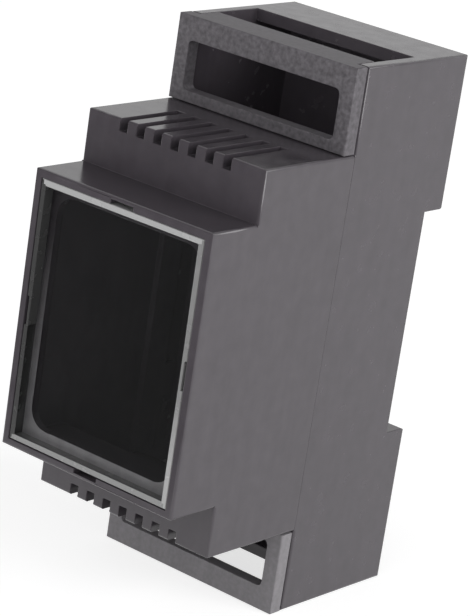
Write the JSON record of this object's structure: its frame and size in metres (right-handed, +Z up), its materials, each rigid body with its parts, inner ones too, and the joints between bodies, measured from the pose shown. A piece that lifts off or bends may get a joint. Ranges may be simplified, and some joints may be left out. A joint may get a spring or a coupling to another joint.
{
  "type": "din rail enclosure",
  "caption": "Stepped black rail-mount enclosure with a clear front panel, vented shoulders, open terminal guards and a sprung rail clip.",
  "frame": {"origin": "middle of the footprint at the lower end, on which the enclosure stands", "axes": "+X across the width, -Y out of the front, +Y towards the rail, +Z up to the upper end"},
  "size_m": [0.036, 0.0574, 0.09],
  "materials": {
    "moulded_black": "black moulded ABS, fine satin texture",
    "guard_black": "black moulded ABS, coarser spark texture",
    "clip_black": "black moulded plastic, smooth satin",
    "clear_panel": "clear polished plastic"
  },
  "bodies": {
    "housing": {"base": "moulded_black", "cover": "moulded_black", "front_window": "clear_panel", "terminal_guard_top": "guard_black", "terminal_guard_bottom": "guard_black"},
    "clip": {"rail_clip": "clip_black"}
  },
  "joints": [
    {"name": "clip_slide", "type": "slide", "parent": "housing", "child": "clip", "axis": [0, 0, -1], "range_m": [0, 0.0034], "stiffness_N_per_m": 3000, "springref_m": -0.001}
  ]
}
